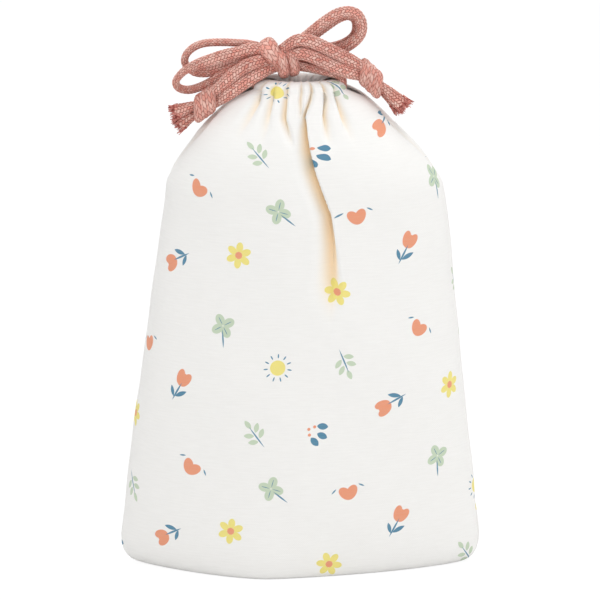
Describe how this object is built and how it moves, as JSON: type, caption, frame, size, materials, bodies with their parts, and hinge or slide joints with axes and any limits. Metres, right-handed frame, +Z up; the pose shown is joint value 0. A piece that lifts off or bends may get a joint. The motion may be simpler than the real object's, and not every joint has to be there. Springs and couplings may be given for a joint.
{
  "type": "drawstring pouch",
  "caption": "Gathered cotton pouch that stands on its base, with a stitched channel round its mouth and soft braided drawstrings tied in a bow.",
  "frame": {"origin": "on the standing surface, under the middle of the pouch without its cords", "axes": "+Z up from the base to the gathered mouth, -Y towards the front, +X to the right as seen from the front"},
  "size_m": [0.1512, 0.0772, 0.2385],
  "materials": {
    "cloth": "matt woven cotton, near white, with a small scattered print",
    "cord": "soft braided cotton, dusty coral"
  },
  "bodies": {
    "root": {"pouch_body": "cloth", "left_drawstring_in_channel": "cord", "right_drawstring_in_channel": "cord", "left_front_strand": "cord", "left_back_strand": "cord", "right_front_strand": "cord", "right_back_strand": "cord", "left_loop_back": "cord", "left_loop_front": "cord", "right_loop_outer": "cord", "right_loop_inner": "cord", "left_tail_upper": "cord", "left_tail_lower": "cord", "right_tail_upper": "cord", "right_tail_lower": "cord", "left_end_upper": "cord", "left_end_lower": "cord", "right_end_upper": "cord", "right_end_lower": "cord", "bow_knot": "cord", "left_end_knot": "cord", "right_end_knot": "cord"}
  },
  "joints": []
}
